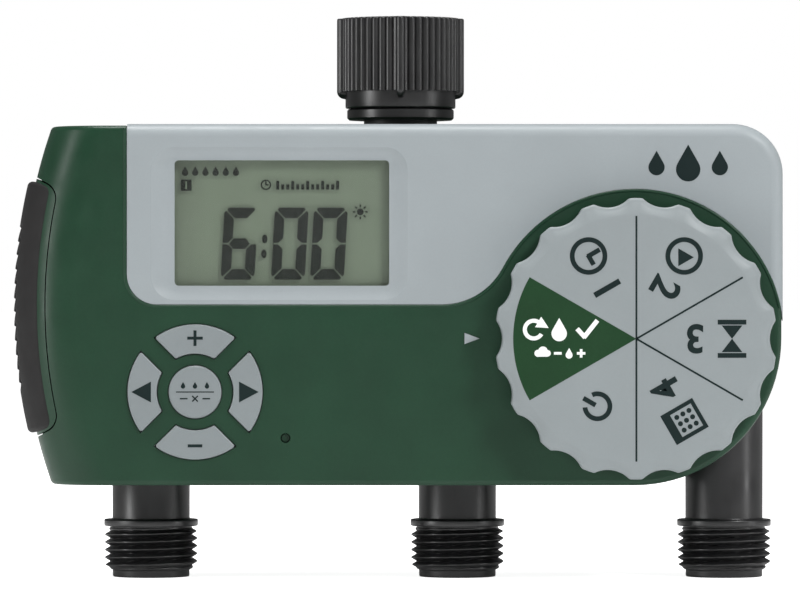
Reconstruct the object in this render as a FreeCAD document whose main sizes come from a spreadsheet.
import FreeCAD, Part
import math
import os
from types import SimpleNamespace

import Sketcher

# Drip irrigation timer: a three-outlet water timer that hangs from a garden tap.
# Millimetres. +Z up, the front faces -Y, +X to the right as the front is seen.
# The origin is on the inlet axis, at the open mouth of the swivel nut.

os.makedirs("parts", exist_ok=True)
document = FreeCAD.newDocument("irrigation_timer")
sheet = document.addObject("Spreadsheet::Sheet", "size")

DIMENSIONS = {
    # case
    "case_top": -31.9,
    "case_left": -100.0,
    "case_bulge": 8.7,
    "case_right": 108.4,
    "case_front": -34.0,
    "case_split": 12.0,
    "case_back": 32.0,
    "corner_top": 13.8,
    "wall": 3.2,
    "side_roll": 16.0,
    "edge_round": 1.5,
    "back_round": 4.0,
    "gasket_thick": 1.0,
    # grey insert on the front
    "fascia_proud": 0.5,
    "fascia_thick": 2.0,
    "fascia_round": 3.6,
    "fascia_skirt": 8.0,
    "seam_gap": 0.25,
    "seam_left": -77.8,
    "seam_low": -82.8,
    "seam_corner": 8.5,
    "seam_sweep": 19.5,
    "seam_dial": 42.6,
    # display
    "window_left": -64.3,
    "window_right": -3.2,
    "window_high": -41.8,
    "window_low": -77.5,
    "window_corner": 1.2,
    "dish_left": 6.6,
    "dish_right": 5.2,
    "dish_high": 3.7,
    "dish_low": 4.0,
    "dish_corner": 6.5,
    "dish_deep": 1.2,
    "dish_floor": 0.8,
    "lens_lip": 2.6,
    "glass_gap": 0.9,
    # dial
    "dial_centre": 66.6,
    "dial_height": -92.5,
    "knob_radius": 39.8,
    "knob_face": 35.0,
    "knob_top": -46.0,
    "knob_slope": 0.9,
    "knob_gap": 0.6,
    "knob_plate": 2.6,
    "scallop_count": 18,
    "scallop_deep": 2.0,
    "scallop_radius": 8.6,
    "label_thick": 0.4,
    "hub_radius": 6.5,
    "spindle_radius": 3.0,
    "running_gap": 0.05,
    "pointer_left": 18.2,
    "pointer_long": 4.3,
    "pointer_half": 1.6,
    # keypad
    "keypad_centre": -58.4,
    "keypad_height": -107.7,
    "key_round": 7.5,
    "key_inner": 10.9,
    "key_outer": 19.2,
    "key_offset": 2.8,
    "key_corner": 0.65,
    "key_gap": 0.25,
    "key_proud": 0.9,
    "key_flange": 0.8,
    "key_travel": 0.8,
    "dome_radius": 3.5,
    "reset_centre": -32.7,
    "reset_height": -120.8,
    "reset_hole": 1.4,
    "reset_pin": 1.1,
    # electronics
    "board_left": -83.0,
    "board_right": 16.0,
    "board_high": -42.0,
    "board_low": -124.0,
    "board_front": -26.0,
    "board_thick": 1.6,
    "switch_half": 9.0,
    # battery drawer
    "drawer_height": -83.6,
    "drawer_wrap": 7.6,
    "drawer_half": 33.7,
    "drawer_flare": 7.0,
    "drawer_back": 6.0,
    "drawer_gap": 0.3,
    "drawer_corner": 5.0,
    "grip_margin": 1.2,
    "grip_thick": 2.4,
    "cell_radius": 7.1,
    "cell_long": 50.5,
    "cell_centre": -94.3,
    "cell_front": -20.2,
    "cell_back": -5.2,
    "tray_wall": 1.2,
    "tray_slack": 0.2,
    "tray_front": -27.4,
    # inlet
    "nut_radius": 16.6,
    "nut_rib": 0.65,
    "nut_rib_count": 48,
    "nut_lobe": 1.8,
    "nut_ribbed": 21.2,
    "nut_collar": 15.95,
    "nut_long": 26.1,
    "thread_pitch": 2.209,
    "thread_turns": 5,
    "hose_crest": 12.35,
    "hose_root": 13.65,
    "stem_radius": 10.6,
    "stem_bore": 8.8,
    "stem_head": 13.2,
    "stem_ring": 15.45,
    # water path
    "manifold_height": -53.0,
    "manifold_radius": 10.0,
    "manifold_bore": 7.0,
    "manifold_left": -83.3,
    "manifold_right": 102.0,
    "outlet_left": -72.3,
    "outlet_middle": 16.5,
    "outlet_right": 93.8,
    "pipe_radius": 11.2,
    "pipe_bore": 8.5,
    "outlet_collar": 13.6,
    "outlet_root": 11.85,
    "outlet_crest": 13.4,
    "outlet_end": -161.7,
    "valve_high": -66.0,
    "valve_height": -82.5,
    "valve_low": -99.0,
    "valve_boss": 11.0,
    "plunger_travel": 1.5,
}


class Size:
    """A length with its value now and the sheet expression that gives it."""

    def __init__(self, value, text):
        self.value = value
        self.text = text

    def __add__(self, other):
        other = as_size(other)
        return Size(self.value + other.value, f"({self.text} + {other.text})")

    def __sub__(self, other):
        other = as_size(other)
        return Size(self.value - other.value, f"({self.text} - {other.text})")

    def __mul__(self, factor):
        factor = as_size(factor)
        return Size(self.value * factor.value, f"({self.text} * {factor.text})")

    def __truediv__(self, divisor):
        divisor = as_size(divisor)
        return Size(self.value / divisor.value, f"({self.text} / {divisor.text})")

    def __neg__(self):
        return Size(-self.value, f"(0 - {self.text})")

    __radd__ = __add__
    __rmul__ = __mul__

    def __rsub__(self, other):
        return as_size(other) - self

    def root(self):
        return Size(math.sqrt(self.value), f"sqrt({self.text})")


def as_size(number):
    return number if isinstance(number, Size) else Size(number, f"{number:.6g}")


def fill_sheet():
    """One row for each driving dimension: its name, and its value under that alias."""
    aliases = {}
    for row, (name, value) in enumerate(DIMENSIONS.items(), start=1):
        sheet.set(f"A{row}", name)
        sheet.set(f"B{row}", str(value))
        sheet.setAlias(f"B{row}", name)
        aliases[name] = Size(value, f"size.{name}")
    document.recompute()
    return SimpleNamespace(**aliases)


d = fill_sheet()
finished = []


def finish(item, label):
    """Give a sub-part its own label and keep it for export."""
    item.Label = label
    finished.append(item)
    return item


def bind(item, prop, length):
    item.setExpression(prop, as_size(length).text)


TURNS = {
    "X": FreeCAD.Rotation(FreeCAD.Vector(0, 1, 0), 90),
    "Y": FreeCAD.Rotation(FreeCAD.Vector(1, 0, 0), -90),
    "Z": FreeCAD.Rotation(),
}


def place(item, x, y, z, axis="Z"):
    """Put an object's own origin at a point and turn its Z axis to the axis named."""
    item.Placement = FreeCAD.Placement(FreeCAD.Vector(0, 0, 0), TURNS[axis])
    for letter, length in zip("xyz", (x, y, z)):
        bind(item, f"Placement.Base.{letter}", length)
    return item


def box(x, y, z):
    """A block from its low and high faces along each axis."""
    item = document.addObject("Part::Box", "block")
    for prop, (low, high) in zip(("Length", "Width", "Height"), (x, y, z)):
        bind(item, prop, as_size(high) - low)
    return place(item, x[0], y[0], z[0])


def rod(axis, centre, span, radius):
    """A cylinder along an axis; centre gives the other two coordinates in X, Y, Z order."""
    item = document.addObject("Part::Cylinder", "rod")
    bind(item, "Radius", radius)
    bind(item, "Height", as_size(span[1]) - span[0])
    spots = list(centre)
    spots.insert("XYZ".index(axis), span[0])
    return place(item, *spots, axis=axis)


def fuse(*items):
    if len(items) == 1:
        return items[0]
    item = document.addObject("Part::MultiFuse", "joined")
    item.Shapes = list(items)
    return item


def cut(base, *tools):
    item = document.addObject("Part::Cut", "cut")
    item.Base = base
    item.Tool = fuse(*tools)
    return item


def common(first, second):
    item = document.addObject("Part::Common", "shared")
    item.Base = first
    item.Tool = second
    return item


def new_body(name):
    return document.addObject("PartDesign::Body", name)


def new_sketch(body, plane, offset=0):
    """A sketch on one of the body's own origin planes, moved along the plane's normal."""
    sketch = body.newObject("Sketcher::SketchObject", "sketch")
    base = next(item for item in body.Origin.OriginFeatures if item.Role == plane)
    sketch.AttachmentSupport = [(base, "")]
    sketch.MapMode = "FlatFace"
    bind(sketch, "AttachmentOffset.Base.z", offset)
    return sketch


def hold(sketch, curve, end, point):
    """Tie one end of a curve to its place."""
    for kind, length in zip(("DistanceX", "DistanceY"), point):
        length = as_size(length)
        number = sketch.addConstraint(Sketcher.Constraint(kind, -1, 1, curve, end, length.value))
        if "size." in length.text:
            sketch.setExpression(f"Constraints[{number}]", length.text)


def vector(point):
    return FreeCAD.Vector(as_size(point[0]).value, as_size(point[1]).value, 0)


def arc_between(start, end, radius, left_turn):
    """The arc of this radius from start to end, less than half a turn."""
    start, end = vector(start), vector(end)
    chord = end - start
    middle = (start + end) * 0.5
    reach = math.sqrt(max(radius**2 - (chord.Length / 2) ** 2, 0))
    side = FreeCAD.Vector(-chord.y, chord.x, 0).normalize()
    centre = middle + side * (reach if left_turn else -reach)
    bow = (middle - centre).normalize() if reach > 1e-9 else side * (-1 if left_turn else 1)
    return Part.Arc(start, centre + bow * radius, end)


def outline(sketch, points):
    """A closed outline. A point is (x, y), or (x, y, radius) when an arc leads on from it:
    a positive radius turns left, a negative one turns right."""
    first = sketch.GeometryCount
    count = len(points)
    for index, point in enumerate(points):
        following = points[(index + 1) % count]
        if len(point) == 2:
            sketch.addGeometry(Part.LineSegment(vector(point), vector(following)), False)
            continue
        radius = as_size(point[2]).value
        sketch.addGeometry(arc_between(point, following, abs(radius), radius > 0), False)
    for index, point in enumerate(points):
        curve = first + index
        following = first + (index + 1) % count
        left = len(point) == 3 and as_size(point[2]).value < 0
        next_point = points[(index + 1) % count]
        next_right = len(next_point) == 3 and as_size(next_point[2]).value < 0
        end = 1 if left else 2
        start = 2 if next_right else 1
        sketch.addConstraint(Sketcher.Constraint("Coincident", curve, end, following, start))
        hold(sketch, curve, 2 if left else 1, point[:2])
        if len(point) == 3:
            radius = point[2] if as_size(point[2]).value > 0 else -as_size(point[2])
            number = sketch.addConstraint(Sketcher.Constraint("Radius", curve, as_size(radius).value))
            if "size." in as_size(radius).text:
                sketch.setExpression(f"Constraints[{number}]", as_size(radius).text)


def circle(sketch, point, radius):
    shape = Part.Circle(vector(point), FreeCAD.Vector(0, 0, 1), as_size(radius).value)
    curve = sketch.addGeometry(shape, False)
    hold(sketch, curve, 3, point)
    number = sketch.addConstraint(Sketcher.Constraint("Radius", curve, as_size(radius).value))
    bind(sketch, f"Constraints[{number}]", radius)


def pad(body, sketch, length, backwards=False):
    feature = body.newObject("PartDesign::Pad", "pad")
    feature.Profile = sketch
    feature.Reversed = backwards
    bind(feature, "Length", length)
    body.Tip = feature
    return feature


def prism(name, span, points):
    """A body with one outline in X and Z, padded from a low to a high Y."""
    body = new_body(name)
    sketch = new_sketch(body, "XZ_Plane", -as_size(span[1]))
    outline(sketch, points)
    pad(body, sketch, as_size(span[1]) - span[0])
    return body


def turned(name, axis, spot, profile):
    """A body turned about an axis through spot; the profile is radius and height pairs."""
    body = new_body(name)
    sketch = new_sketch(body, "XZ_Plane")
    outline(sketch, profile)
    feature = body.newObject("PartDesign::Revolution", "turn")
    feature.Profile = sketch
    feature.ReferenceAxis = (sketch, ["V_Axis"])
    feature.Angle = 360
    body.Tip = feature
    return place(body, *spot, axis=axis)


def blend_edges(body, base, wanted, radius, kind="Fillet"):
    """Round or chamfer the edges of the last feature that the test picks."""
    document.recompute()
    names = [f"Edge{i}" for i, edge in enumerate(base.Shape.Edges, start=1) if wanted(edge)]
    feature = body.newObject(f"PartDesign::{kind}", kind.lower())
    feature.Base = (base, names)
    bind(feature, "Radius" if kind == "Fillet" else "Size", radius)
    body.Tip = feature
    return feature


def rounded_rectangle(x, z, corner):
    """An outline of four straight sides with a quarter round at each corner."""
    (left, right), (low, high) = x, z
    return [
        (left + corner, low),
        (right - corner, low, corner),
        (right, low + corner),
        (right, high - corner, corner),
        (right - corner, high),
        (left + corner, high, corner),
        (left, high - corner),
        (left, low + corner, corner),
    ]


def polar(body, feature, sketch, count):
    """Repeat a feature evenly round the sketch's own normal."""
    pattern = body.newObject("PartDesign::PolarPattern", "pattern")
    pattern.Originals = [feature]
    pattern.Axis = (sketch, ["N_Axis"])
    pattern.Angle = 360
    bind(pattern, "Occurrences", count)
    body.Tip = pattern


# Case: both shells come from one outline, drawn at different insets

fascia_top = d.case_top + d.fascia_proud
case_bottom = d.dial_height - (d.case_right - d.dial_centre)
inside_front = d.case_front + d.wall
inside_back = d.case_back - d.wall
rear_start = d.case_split + d.gasket_thick
half_tall = (d.case_top - case_bottom) / 2
middle_height = (d.case_top + case_bottom) / 2
bulge_radius = (half_tall * half_tall + d.case_bulge * d.case_bulge) / (2 * d.case_bulge)
bulge_centre = d.case_left - d.case_bulge + bulge_radius


def on_bulge(inset, height):
    """X of the bowed left side at a height, moved in by the inset."""
    radius = bulge_radius - inset
    rise = height - middle_height
    return bulge_centre - (radius * radius - rise * rise).root()


def case_outline(inset, proud=0):
    """The front view of the case, clockwise: bowed left side and a large round under the dial."""
    top = d.case_top + proud - inset
    right = d.case_right + proud - inset
    bottom = case_bottom - proud + inset
    corner = d.corner_top + proud - inset
    dial_round = right - d.dial_centre
    return [
        (on_bulge(inset, top), top),
        (right - corner, top, -corner),
        (right, top - corner),
        (right, d.dial_height, -dial_round),
        (d.dial_centre, bottom),
        (on_bulge(inset, bottom), bottom, -(bulge_radius - inset)),
    ]


def case_block(name, inset, span, roll, edge=None, proud=0):
    """A solid block of the case with its left side rolled back and its front edge rounded."""
    body = prism(name, span, case_outline(inset, proud))
    front = as_size(span[0]).value
    left = d.case_left.value + d.wall.value

    def bowed_front_edge(shape):
        box_of = shape.BoundBox
        return box_of.XMax < left and box_of.YMax < front + 0.01 and box_of.ZLength > 50

    def outer_chain(shape):
        box_of = shape.BoundBox
        on_front = box_of.YMax < front + 0.01
        at_left_corner = box_of.XMin < left and box_of.ZLength < 0.01
        return (on_front and box_of.ZLength < 90) or at_left_corner

    last = blend_edges(body, body.Tip, bowed_front_edge, roll)
    if edge is not None:
        blend_edges(body, last, outer_chain, edge)
    return body


def fascia_region(name, gap):
    """Where the grey insert lies: right of a vertical seam, above a low seam, round the dial."""
    beyond = d.case_right + 20
    above = d.case_top + 20
    left = d.seam_left - gap
    low = d.seam_low - gap
    sweep_height = d.seam_low + d.seam_sweep
    reach = d.seam_dial + d.seam_sweep
    rise = sweep_height - d.dial_height
    run = (reach * reach - rise * rise).root()
    dial = d.seam_dial - gap
    touch = dial / reach
    return prism(name, (d.case_front - 5, d.case_front + d.fascia_skirt), [
        (left, above),
        (left, d.seam_low + d.seam_corner, d.seam_corner + gap),
        (d.seam_left + d.seam_corner, low),
        (d.dial_centre - run, low, d.seam_sweep + gap),
        (d.dial_centre - run * touch, d.dial_height + rise * touch, -dial),
        (d.dial_centre + dial, d.dial_height),
        (beyond, d.dial_height),
        (beyond, above),
    ])


def drawer_region(name, margin, back):
    """The flared end of the case that slides out with the battery tray."""
    reach = d.drawer_wrap - margin
    half = d.drawer_half - margin
    high = d.drawer_height + half
    low = d.drawer_height - half
    beyond = d.case_left - 25
    body = prism(name, (d.case_front - 8, back), [
        (beyond, low - d.drawer_flare * 2),
        (on_bulge(reach, low), low, -(bulge_radius - reach)),
        (on_bulge(reach, high), high),
        (beyond, high + d.drawer_flare * 2),
    ])

    def inner_corner(shape):
        box_of = shape.BoundBox
        return box_of.XLength < 0.01 and box_of.ZLength < 0.01 and box_of.XMin > beyond.value + 1

    blend_edges(body, body.Tip, inner_corner, d.drawer_corner - margin)
    return body


outlets = {"left": d.outlet_left, "middle": d.outlet_middle, "right": d.outlet_right}
top_posts = (-90.0, -45.0, 45.0, 97.0)
low_posts = (-90.0, -30.0, 45.0)
post_inset = 5.2
post_spots = [(x, d.case_top - post_inset) for x in top_posts]
post_spots += [(x, case_bottom + post_inset) for x in low_posts]
board_spots = [(d.board_left + 3.5, d.board_high - 3.5), (d.board_right - 3.5, d.board_high - 3.5)]
board_spots += [(d.board_left + 3.5, d.board_low + 3.5), (d.board_right - 3.5, d.board_low + 3.5)]


def row_of_rods(spots, span, radius):
    return [rod("Y", spot, span, radius) for spot in spots]


def keypad_turn(body, angle):
    """Put a key, drawn about the origin with its axis upwards, at its place round the pad."""
    turn = FreeCAD.Rotation(FreeCAD.Vector(0, 1, 0), angle)
    body.Placement = FreeCAD.Placement(FreeCAD.Vector(0, 0, 0), turn)
    bind(body, "Placement.Base.x", d.keypad_centre)
    bind(body, "Placement.Base.z", d.keypad_height)
    return body


def sector_outline(growth):
    """A quarter key: two arcs, and two sides that run beside the diagonals."""
    points = []
    offset = d.key_offset - growth
    for radius in (d.key_inner - growth, d.key_outer + growth):
        along = (radius * radius - offset * offset).root()
        points.append(((along - offset) / math.sqrt(2), (along + offset) / math.sqrt(2)))
    inner, outer = points
    return [
        inner,
        (*outer, d.key_outer + growth),
        (-outer[0], outer[1]),
        (-inner[0], inner[1], growth - d.key_inner),
    ]


KEY_ANGLES = {"plus": 0, "right": 90, "minus": 180, "left": 270}


def key_holes():
    """Openings for the four sector keys and the round one."""
    span = (d.case_front - 1, inside_front + 1)
    holes = [keypad_turn(prism("key_hole", span, sector_outline(d.key_gap)), angle)
             for angle in KEY_ANGLES.values()]
    holes.append(rod("Y", (d.keypad_centre, d.keypad_height), span, d.key_round + d.key_gap))
    return holes


def pointer_prism(name):
    """A small triangle that points at the dial."""
    half = d.pointer_half
    return prism(name, (d.case_front - 0.3, d.case_front + 1), [
        (d.pointer_left, d.dial_height - half),
        (d.pointer_left + d.pointer_long, d.dial_height),
        (d.pointer_left, d.dial_height + half),
    ])


def pipe_holes(clearance):
    """The round holes that the inlet neck and the three outlet pipes pass through."""
    radius = d.pipe_radius + clearance
    holes = [rod("Z", (x, 0), (d.outlet_end, d.valve_low), radius) for x in outlets.values()]
    holes.append(rod("Z", (0, 0), (d.case_top - 6, 0), d.stem_radius + clearance))
    return holes


# Grey insert and front shell

skin = case_block("skin", 0, (d.case_front, d.case_split), d.side_roll, d.edge_round)
hollow = case_block("hollow", d.wall, (inside_front, d.case_split + 1), d.side_roll - d.wall)
fascia_skin = case_block(
    "fascia_skin", 0, (d.case_front, d.case_split), d.side_roll, d.fascia_round, d.fascia_proud)
under_fascia = prism(
    "under_fascia", (d.case_front + d.fascia_thick, d.case_split),
    case_outline(d.fascia_thick, d.fascia_proud))
window_x = (d.window_left, d.window_right)
window_z = (d.window_low, d.window_high)


dish_sections = 4


def dish():
    """The recess that curves down to the display window on all four sides, steepest at its rim."""
    body = new_body("dish")
    sections = []
    for step in range(dish_sections):
        down = step / (dish_sections - 1)
        level = round(math.sin(down * math.pi / 2), 4)
        rim = 1 - down
        floor_margin = d.dish_floor * down
        x = (d.window_left - d.dish_left * rim - floor_margin, d.window_right + d.dish_right * rim + floor_margin)
        z = (d.window_low - d.dish_low * rim - floor_margin, d.window_high + d.dish_high * rim + floor_margin)
        corner = d.dish_corner * rim + (d.window_corner + d.dish_floor) * down
        section = new_sketch(body, "XZ_Plane", -(d.case_front + d.dish_deep * level))
        outline(section, rounded_rectangle(x, z, corner))
        sections.append(section)
    loft = body.newObject("PartDesign::AdditiveLoft", "loft")
    loft.Profile = sections[0]
    loft.Sections = sections[1:]
    body.Tip = loft
    return body


window_hole = prism(
    "window", (d.case_front - 1, inside_front), rounded_rectangle(window_x, window_z, d.window_corner))
finish(cut(common(fascia_skin, fascia_region("fascia_region", 0)), under_fascia, dish(), window_hole),
       "grey_fascia")

lens_x = (d.window_left - d.lens_lip, d.window_right + d.lens_lip)
lens_z = (d.window_low - d.lens_lip, d.window_high + d.lens_lip)
front_posts = row_of_rods(post_spots, (-20, d.case_split), 3.2)
board_posts = row_of_rods(board_spots, (inside_front, d.board_front), 3.0)
fascia_seat = cut(fascia_region("fascia_seat", d.seam_gap), under_fascia)
front_tools = [
    fascia_seat,
    box(lens_x, (d.case_front, inside_front + 1), lens_z),
    drawer_region("drawer_opening", 0, d.drawer_back),
    pointer_prism("pointer_seat"),
    rod("Y", (d.dial_centre, d.dial_height), (d.case_front - 1, inside_front + 1), 5.4),
    rod("Y", (d.reset_centre, d.reset_height), (d.case_front - 1, inside_front + 1), d.reset_hole),
    *row_of_rods(post_spots, (-10, d.case_split + 1), 1.3),
    *row_of_rods(board_spots, (inside_front + 0.6, d.board_front + 1), 1.15),
    *key_holes(),
    *pipe_holes(0.1),
]
front_shell = cut(fuse(cut(skin, hollow), *front_posts, *board_posts), *front_tools)
finish(front_shell, "front_housing")
finish(pointer_prism("pointer"), "pointer_insert")

# Rear shell, gasket and screws


def back_block(name, inset, span, edge=None):
    """A block of the rear half, with its back edge rounded."""
    body = prism(name, span, case_outline(inset))
    back = as_size(span[1]).value
    if edge is not None:
        blend_edges(body, body.Tip, lambda shape: shape.BoundBox.YMin > back - 0.01, edge)
    return body


rear_skin = back_block("rear_skin", 0, (rear_start, d.case_back), d.back_round)
rear_hollow = back_block("rear_hollow", d.wall, (rear_start - 1, inside_back))
rear_posts = row_of_rods(post_spots, (rear_start, d.case_back - 1), 4)
head_seat = d.case_back - 3.6
rear_tools = row_of_rods(post_spots, (rear_start - 1, d.case_back + 1), 1.5)
rear_tools += row_of_rods(post_spots, (head_seat, d.case_back + 1), 3.1)
finish(cut(fuse(cut(rear_skin, rear_hollow), *rear_posts), *rear_tools), "rear_housing")

gasket_span = (d.case_split, rear_start)
gasket_outer = prism("gasket_outer", gasket_span, case_outline(0.4))
gasket_inner = prism("gasket_inner", gasket_span, case_outline(d.wall - 0.4))
finish(cut(gasket_outer, gasket_inner, *row_of_rods(post_spots, gasket_span, 1.6)), "housing_gasket")


def screws(spots, start, seat, shank, head, head_tall):
    """Pan-head screws along Y, with their heads behind the seat."""
    pieces = []
    for spot in spots:
        bolt = rod("Y", spot, (start, seat), shank)
        pieces.append(fuse(bolt, rod("Y", spot, (seat, seat + head_tall), head)))
    return pieces


def group(pieces):
    """Several separate solids kept as one node."""
    item = document.addObject("Part::Compound", "group")
    item.Links = pieces
    return item


finish(group(screws(post_spots, -8, head_seat, 1.25, 2.8, 2.2)), "case_screws")

# Display and electronics

lens_back = inside_front - 0.2
lens = fuse(box(lens_x, (d.case_front + d.fascia_thick, lens_back), lens_z),
            prism("lens_step", (d.case_front + d.dish_deep + 0.1, d.case_front + d.fascia_thick),
                  rounded_rectangle(window_x, window_z, d.window_corner)))
finish(lens, "lcd_lens")
glass_x = (lens_x[0] + 1, lens_x[1] - 1)
glass_z = (lens_z[0] + 1, lens_z[1] - 1)
glass_back = inside_front + 2.4
finish(box(glass_x, (inside_front + d.glass_gap, glass_back), glass_z), "lcd_module")
strip_z = (glass_z[0] + 0.5, glass_z[0] + 3)
finish(box((glass_x[0] + 3, glass_x[1] - 3), (glass_back, d.board_front), strip_z), "lcd_strip")

board_back = d.board_front + d.board_thick
board_x = (d.board_left, d.board_right)
board_z = (d.board_low, d.board_high)
board_y = (d.board_front, board_back)
board_holes = row_of_rods(board_spots, (d.board_front - 1, board_back + 1), 1.3)
finish(cut(box(board_x, board_y, board_z), *board_holes), "circuit_board")
finish(group(screws(board_spots, inside_front + 1, board_back, 1.1, 2.4, 1.5)), "board_screws")

flange_front = inside_front + 0.1
flange_back = flange_front + 1
dome_top = flange_back + d.key_travel + 0.1
mat_front = d.board_front - 1.2
key_middle = (d.key_inner + d.key_outer) / 2
arm_long = key_middle + d.dome_radius + 0.6
arm_half = d.dome_radius + 3
dome_spots = [(d.keypad_centre, d.keypad_height)]
for across, up in ((0, 1), (1, 0), (0, -1), (-1, 0)):
    dome_spots.append((d.keypad_centre + key_middle * across, d.keypad_height + key_middle * up))
mat_arms = []
for wide, tall in ((arm_long, arm_half), (arm_half, arm_long)):
    mat_x = (d.keypad_centre - wide, d.keypad_centre + wide)
    mat_z = (d.keypad_height - tall, d.keypad_height + tall)
    mat_arms.append(box(mat_x, (mat_front, d.board_front), mat_z))
finish(fuse(*mat_arms, *row_of_rods(dome_spots, (dome_top, mat_front), d.dome_radius)), "keypad_mat")


def add_pad(body, span, points):
    """A second layer on a body that is already padded along Y."""
    sketch = new_sketch(body, "XZ_Plane", -as_size(span[1]))
    outline(sketch, points)
    return pad(body, sketch, as_size(span[1]) - span[0])


def key_cap(name, angle):
    """A sector key: a rounded cap that stands proud, with a flange that stops it behind the wall."""
    front = d.case_front - d.key_proud
    body = prism(name, (front, flange_front), sector_outline(0))
    upright = blend_edges(body, body.Tip, lambda edge: edge.BoundBox.YLength > 2, d.key_corner)
    blend_edges(body, upright, lambda edge: edge.BoundBox.YMax < front.value + 0.01, 0.35)
    add_pad(body, (flange_front, flange_back), sector_outline(d.key_flange))
    return keypad_turn(body, angle)


for side, angle in KEY_ANGLES.items():
    finish(key_cap(f"key_{side}", angle), f"button_{side}")

flange_round = d.key_round + d.key_flange
round_key = turned("key_centre", "Y", (d.keypad_centre, 0, d.keypad_height), [
    (0, d.case_front - d.key_proud),
    (d.key_round - 0.35, d.case_front - d.key_proud),
    (d.key_round, d.case_front - d.key_proud + 0.35),
    (d.key_round, flange_front),
    (flange_round, flange_front),
    (flange_round, flange_back),
    (0, flange_back),
])
finish(round_key, "button_centre")

reset_end = d.board_front - 2.4
reset_spot = (d.reset_centre, 0, d.reset_height)
finish(turned("reset_pin", "Y", reset_spot, [
    (0, d.case_front + 1),
    (d.reset_pin, d.case_front + 1),
    (d.reset_pin, flange_front),
    (2, flange_front),
    (2, flange_back),
    (d.reset_pin, flange_back),
    (d.reset_pin, reset_end),
    (0, reset_end),
]), "reset_plunger")
reset_x = (d.reset_centre - 3, d.reset_centre + 3)
reset_z = (d.reset_height - 3, d.reset_height + 3)
finish(box(reset_x, (reset_end + 0.4, d.board_front), reset_z), "reset_switch")

# Dial: knob, printed face and spindle turn together in the rotary switch

dial_spot = (d.dial_centre, 0, d.dial_height)
knob_back = d.case_front - d.knob_gap
plate_back = d.knob_top + d.label_thick + d.knob_plate
skirt_radius = d.knob_radius - d.scallop_deep - 2.2


def knob():
    """A shallow cap with a hub, a sloping rim and scallops cut round its side."""
    body = turned("knob", "Y", dial_spot, [
        (0, d.knob_top + d.label_thick),
        (d.knob_face, d.knob_top + d.label_thick),
        (d.knob_face, d.knob_top),
        (d.knob_radius, d.knob_top + d.knob_slope),
        (d.knob_radius, knob_back),
        (skirt_radius, knob_back),
        (skirt_radius, plate_back),
        (d.hub_radius, plate_back),
        (d.hub_radius, knob_back - 0.4),
        (d.spindle_radius, knob_back - 0.4),
        (d.spindle_radius, plate_back),
        (0, plate_back),
    ])
    sketch = new_sketch(body, "XY_Plane", d.knob_top - 1)
    reach = d.knob_radius - d.scallop_deep + d.scallop_radius
    half_step = math.pi / d.scallop_count.value
    circle(sketch, (reach * math.sin(half_step), reach * math.cos(half_step)), d.scallop_radius)
    pocket = body.newObject("PartDesign::Pocket", "scallop")
    pocket.Profile = sketch
    pocket.Reversed = True
    bind(pocket, "Length", knob_back - d.knob_top + 2)
    body.Tip = pocket
    polar(body, pocket, sketch, d.scallop_count)
    return body


dial_axis = (d.dial_centre, d.dial_height)
spindle_end = inside_front + 8
finish(knob(), "selector_knob")
finish(rod("Y", dial_axis, (d.knob_top, d.knob_top + d.label_thick), d.knob_face), "dial_face")
finish(rod("Y", dial_axis, (plate_back, spindle_end), d.spindle_radius), "knob_shaft")
seal_span = (d.case_front + 0.6, inside_front - 0.8)
seal_bore = rod("Y", dial_axis, seal_span, d.spindle_radius)
finish(cut(rod("Y", dial_axis, seal_span, 5), seal_bore), "knob_seal")

switch_back = inside_front + 9
switch_x = (d.dial_centre - d.switch_half, d.dial_centre + d.switch_half)
switch_z = (d.dial_height - d.switch_half, d.dial_height + d.switch_half)
switch_bore = rod("Y", dial_axis, (inside_front - 1, spindle_end + 0.3), d.spindle_radius + d.running_gap)
finish(cut(box(switch_x, (inside_front, switch_back), switch_z), switch_bore), "rotary_switch")
switch_board_y = (switch_back, switch_back + d.board_thick)
finish(box((switch_x[0] - 8, switch_x[1] + 8), switch_board_y, (switch_z[0] - 8, switch_z[1] + 8)), "switch_board")

# Battery drawer: bay fixed in the case; tray, grip, cells and contacts slide out to the left

cell_half = d.cell_long / 2
tray_half = cell_half + 2.25 + d.tray_wall
tray_right = d.cell_centre + d.cell_radius + 0.2 + d.tray_wall
tray_back = d.cell_back + d.cell_radius + 0.2 + d.tray_wall
tray_z = (d.drawer_height - tray_half, d.drawer_height + tray_half)
tray_y = (d.tray_front, tray_back)
pocket_left = d.cell_centre - d.cell_radius - 0.2
pocket_z = (tray_z[0] + d.tray_wall, tray_z[1] - d.tray_wall)
pocket_y = (d.tray_front - d.tray_slack, tray_back - d.tray_wall)
tray_pocket = box((pocket_left, tray_right - d.tray_wall), pocket_y, pocket_z)
face_back = d.drawer_back - d.drawer_gap
drawer_face = common(
    case_block("face_skin", 0, (d.case_front, d.case_split), d.side_roll),
    drawer_region("drawer_face", d.drawer_gap, face_back))
face_hollow = case_block("face_hollow", d.wall, (inside_front, d.case_split + 1), d.side_roll - d.wall)
tray_left = d.case_left - 4
tray_block = common(box((tray_left, tray_right), tray_y, tray_z),
                    case_block("tray_limit", 1, (d.case_front + 1, d.case_split), d.side_roll - 1))
finish(cut(fuse(cut(drawer_face, face_hollow), tray_block), tray_pocket), "battery_drawer")

grip_skin = case_block("grip_skin", -d.grip_thick, (d.case_front - d.grip_thick, d.case_split),
                       d.side_roll + d.grip_thick)
grip_core = case_block("grip_core", 0, (d.case_front, d.case_split + 1), d.side_roll)
grip_zone = drawer_region("grip_zone", d.drawer_gap + d.grip_margin, face_back - d.grip_margin)
finish(cut(common(grip_skin, grip_zone), grip_core), "drawer_grip")


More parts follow.
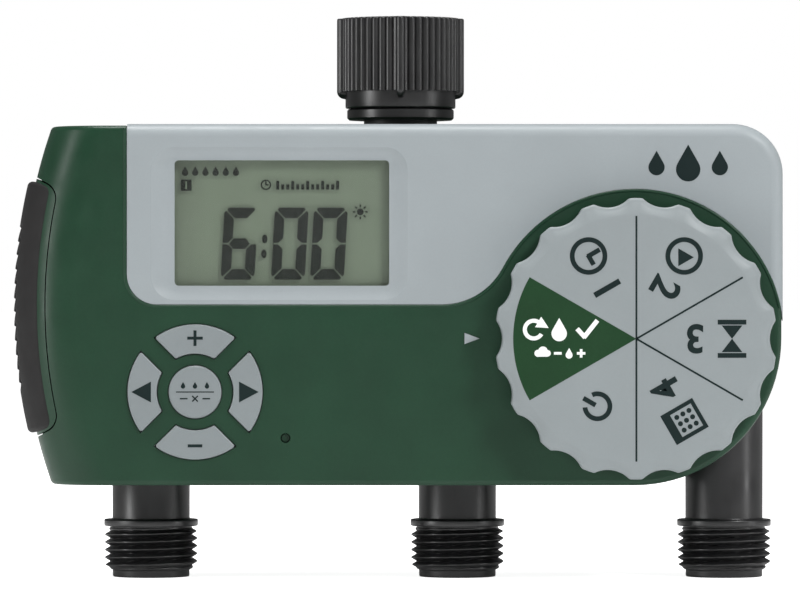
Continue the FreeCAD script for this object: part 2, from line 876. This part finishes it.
def cell(y, way_up):
    """An AA cell that stands upright, with its button end up or down."""
    half = cell_half * way_up
    shoulder = (cell_half - 1) * way_up
    profile = [
        (0, -half),
        (d.cell_radius, -half),
        (d.cell_radius, shoulder),
        (2.75, shoulder),
        (2.75, half),
        (0, half),
    ]
    return turned("cell", "Z", (d.cell_centre, y, d.drawer_height), profile)


finish(cell(d.cell_front, 1), "battery_front")
finish(cell(d.cell_back, -1), "battery_back")
contact_x = (d.cell_centre - 5, d.cell_centre + 5)
contact_y = (d.cell_front - 5, d.cell_back + 5)
contacts = []
for end, inward in ((pocket_z[0], 1), (pocket_z[1], -1)):
    far = end + 0.5 * inward
    span = (end, far) if inward > 0 else (far, end)
    contacts.append(box(contact_x, contact_y, span))
finish(group(contacts), "drawer_contacts")

bay_gap = d.drawer_gap
bay_y = (d.tray_front - bay_gap - d.tray_wall, tray_back + bay_gap + d.tray_wall)
bay_z = (tray_z[0] - bay_gap - d.tray_wall, tray_z[1] + bay_gap + d.tray_wall)
bay_right = tray_right + bay_gap + d.tray_wall
bay_left = -94.5
bay_hollow = box((bay_left - 1, tray_right + bay_gap), (bay_y[0] + d.tray_wall, bay_y[1] - d.tray_wall),
                 (bay_z[0] + d.tray_wall, bay_z[1] - d.tray_wall))
terminal_y = (d.cell_front, d.cell_front + 6)
terminals = []
for height in (d.drawer_height - 18, d.drawer_height + 18):
    terminal_z = (height - 1.5, height + 1.5)
    terminals.append(box((bay_right - d.tray_wall, bay_right), terminal_y, terminal_z))
finish(cut(box((bay_left, bay_right), bay_y, bay_z), bay_hollow, *terminals), "battery_bay")
finish(group(terminals), "bay_terminals")

# Inlet: a swivel nut that turns on the stem, with its washer and filter

lip_top = d.nut_ribbed - 1.2
neck_span = (d.manifold_height, -(lip_top - 3.5))


def ridges(root, crest, start, step, turns):
    """Thread ridges as rings: each rises from the root to a flat crest and falls again."""
    points = []
    for turn in range(turns):
        base = start + step * turn
        points += [
            (root, base + step * 0.1),
            (crest, base + step * 0.35),
            (crest, base + step * 0.65),
            (root, base + step * 0.9),
        ]
    return points


def swivel_nut():
    """A hose nut: ribbed outside with four bold lobes, threaded inside, with a lip under the stem."""
    lowest = d.thread_pitch * (0.35 - d.thread_turns)
    bore = ridges(d.hose_root, d.hose_crest, lowest, d.thread_pitch, DIMENSIONS["thread_turns"])
    body = turned("nut", "Z", (0, 0, 0), [
        (d.nut_radius, 0),
        *reversed(bore[:-1]),
        (d.hose_root, -lip_top),
        (d.stem_radius + d.running_gap, -lip_top),
        (d.stem_radius + d.running_gap, -d.nut_long),
        (d.nut_collar - 0.5, -d.nut_long),
        (d.nut_collar, -(d.nut_long - 0.5)),
        (d.nut_collar, -(d.nut_ribbed + 0.3)),
        (d.nut_radius, -d.nut_ribbed),
    ])
    for reach, radius, length, count in (
            (d.nut_radius, d.nut_rib, d.nut_ribbed, d.nut_rib_count),
            (d.nut_radius, d.nut_lobe, d.nut_ribbed + 2, as_size(4))):
        sketch = new_sketch(body, "XY_Plane", 0)
        circle(sketch, (0, reach), radius)
        rib = pad(body, sketch, length, backwards=True)
        polar(body, rib, sketch, count)
    return body


def ring(axis, centre, span, inner, outer):
    return cut(rod(axis, centre, span, outer), rod(axis, centre, span, inner))


finish(swivel_nut(), "swivel_nut")
head_top = -(lip_top - 3.5)
head_low = -(lip_top - 0.2)
washer_top = head_top + 2.6
finish(ring("Z", (0, 0), (head_top, washer_top), d.stem_bore, d.hose_root - 0.6), "inlet_washer")
screen_low = head_top - 9
screen = turned("screen", "Z", (0, 0, 0), [
    (d.stem_bore - 1.6, head_top - 1),
    (d.stem_bore, head_top - 1),
    (d.stem_bore, head_top),
    (d.stem_bore - 2.2, head_top),
    (d.stem_bore - 3.4, screen_low + 0.8),
    (0, screen_low + 0.8),
    (0, screen_low),
    (d.stem_bore - 2.8, screen_low),
])
finish(screen, "filter_screen")
ring_top = -(d.nut_long + 0.2)
ring_low = ring_top - 3.2
finish(turned("stem_ring", "Z", (0, 0, 0), [
    (d.stem_radius, ring_top),
    (d.stem_radius, ring_low),
    (d.stem_ring - 0.6, ring_low),
    (d.stem_ring, ring_low + 0.6),
    (d.stem_ring, ring_top - 0.4),
    (d.stem_ring - 0.4, ring_top),
]), "stem_ring")

# Manifold: the stem, a cross pipe and a socket over each valve

along = (d.manifold_left, d.manifold_right)
bore_along = (d.manifold_left + 2, d.manifold_right - 2)
sockets = [rod("Z", (x, 0), (d.valve_high, d.manifold_height), d.manifold_radius) for x in outlets.values()]
feed_y = 4.0
feeds = [rod("Z", (x, feed_y), (d.valve_high - 1, d.manifold_height), 3) for x in outlets.values()]
manifold_solid = fuse(
    rod("X", (0, d.manifold_height), along, d.manifold_radius),
    rod("Z", (0, 0), (d.manifold_height, head_top), d.stem_radius),
    rod("Z", (0, 0), (head_low, head_top), d.stem_head),
    *sockets)
finish(cut(manifold_solid,
           rod("X", (0, d.manifold_height), bore_along, d.manifold_bore),
           rod("Z", (0, 0), (d.manifold_height, head_top + 1), d.stem_bore),
           *feeds), "water_manifold")

# Three valves: body, diaphragm, bonnet, solenoid and plunger behind each outlet

seat_y = 12.5
body_back = 13.0
rubber_back = body_back + 1.2
bonnet_back = rubber_back + 3
coil_back = inside_back - 0.3
ear_half = 16.0
ear_width = 4.5
screw_reach = 13.4
poppet_radius = 6.2
chamber_radius = d.valve_boss - 1.7


def bonnet_screw_spots(x):
    return [(x, d.valve_height + screw_reach), (x, d.valve_height - screw_reach)]


def valve_body(x):
    """Upright block with a round boss at the back: ring chamber outside, seat tube inside."""
    axis = (x, d.valve_height)
    ears_x = (x - ear_width, x + ear_width)
    ears_z = (d.valve_height - ear_half, d.valve_height + ear_half)
    solid = fuse(
        rod("Z", (x, 0), (d.valve_low, d.valve_high), d.manifold_radius),
        rod("Y", axis, (0, body_back), d.valve_boss),
        box(ears_x, (0, body_back), ears_z))
    chamber = cut(rod("Y", axis, (feed_y + 0.5, body_back), chamber_radius),
                  rod("Y", axis, (feed_y + 0.5, seat_y), 5.8))
    seat_bore = rod("Y", axis, (-5, body_back), 4.2)
    feed = rod("Z", (x, feed_y), (d.valve_height + 6.5, d.valve_high), 3)
    drain = rod("Z", (x, -3.5), (d.valve_low, d.valve_height), 4.5)
    screw_holes = row_of_rods(bonnet_screw_spots(x), (4, body_back), 1.0)
    return cut(solid, chamber, seat_bore, feed, drain, *screw_holes)


def diaphragm(x):
    """The clamped rubber ring; its middle moves with the plunger."""
    axis = (x, d.valve_height)
    return ring("Y", axis, (body_back, rubber_back), poppet_radius + 0.4, d.valve_boss)


def bonnet(x):
    """Cover that clamps the diaphragm and carries the solenoid."""
    axis = (x, d.valve_height)
    ears_x = (x - ear_width, x + ear_width)
    ears_z = (d.valve_height - ear_half, d.valve_height + ear_half)
    solid = fuse(rod("Y", axis, (rubber_back, bonnet_back), d.valve_boss),
                 box(ears_x, (rubber_back, bonnet_back), ears_z))
    room = rod("Y", axis, (rubber_back, rubber_back + 1.8), poppet_radius + 0.5)
    bore = rod("Y", axis, (rubber_back, bonnet_back), 3.4)
    screw_holes = row_of_rods(bonnet_screw_spots(x), (rubber_back, bonnet_back), 1.3)
    return cut(solid, room, bore, *screw_holes)


def solenoid(x):
    """Coil with a blind bore that the plunger slides in."""
    axis = (x, d.valve_height)
    bore = rod("Y", axis, (bonnet_back, coil_back - 1.5), d.spindle_radius + d.running_gap)
    return cut(rod("Y", axis, (bonnet_back, coil_back), 8.2), bore)


def plunger(x):
    """Iron core with the poppet that closes the seat."""
    start = seat_y + 0.1
    return turned("plunger", "Y", (x, 0, d.valve_height), [
        (0, start),
        (poppet_radius, start),
        (poppet_radius, start + 1.4),
        (d.spindle_radius, start + 1.4),
        (d.spindle_radius, coil_back - 1.7 - d.plunger_travel),
        (0, coil_back - 1.7 - d.plunger_travel),
    ])


def hose_outlet(x):
    """Pipe, collar and male hose thread, open right through."""
    collar_top = d.outlet_end + 16.7
    collar_low = collar_top - 2.5
    thread_top = collar_low - 0.6
    threads = ridges(d.outlet_root, d.outlet_crest, thread_top, -d.thread_pitch, DIMENSIONS["thread_turns"])
    return turned("outlet", "Z", (x, 0, 0), [
        (d.pipe_bore, d.valve_low),
        (d.pipe_bore, d.outlet_end),
        (d.pipe_radius - 0.6, d.outlet_end),
        (d.pipe_radius - 0.1, d.outlet_end + 0.6),
        (d.pipe_radius - 0.1, thread_top - d.thread_pitch * d.thread_turns),
        *reversed(threads),
        (d.outlet_root, collar_low),
        (d.outlet_collar, collar_low),
        (d.outlet_collar, collar_top - 0.4),
        (d.outlet_collar - 0.4, collar_top),
        (d.pipe_radius, collar_top),
        (d.pipe_radius, d.valve_low),
    ])


bonnet_bolts = []
for side, x in outlets.items():
    finish(hose_outlet(x), f"outlet_{side}")
    finish(valve_body(x), f"valve_body_{side}")
    finish(diaphragm(x), f"diaphragm_{side}")
    finish(bonnet(x), f"bonnet_{side}")
    finish(solenoid(x), f"solenoid_{side}")
    finish(plunger(x), f"plunger_{side}")
    bonnet_bolts += screws(bonnet_screw_spots(x), 4.5, bonnet_back, 1.0, 2.0, 1.4)
finish(group(bonnet_bolts), "bonnet_screws")

# Check the whole document, then write one file for each sub-part

document.recompute()
for item in document.Objects:
    if "Invalid" in item.State or "Error" in item.State:
        raise RuntimeError(f"{item.Label} did not build")
for item in finished:
    if item.Shape.isNull() or not item.Shape.isValid() or not item.Shape.Solids:
        raise RuntimeError(f"{item.Label} has no sound solid")
    item.Shape.exportStep(f"parts/{item.Label}.step")
print(f"{len(finished)} sub-parts written")
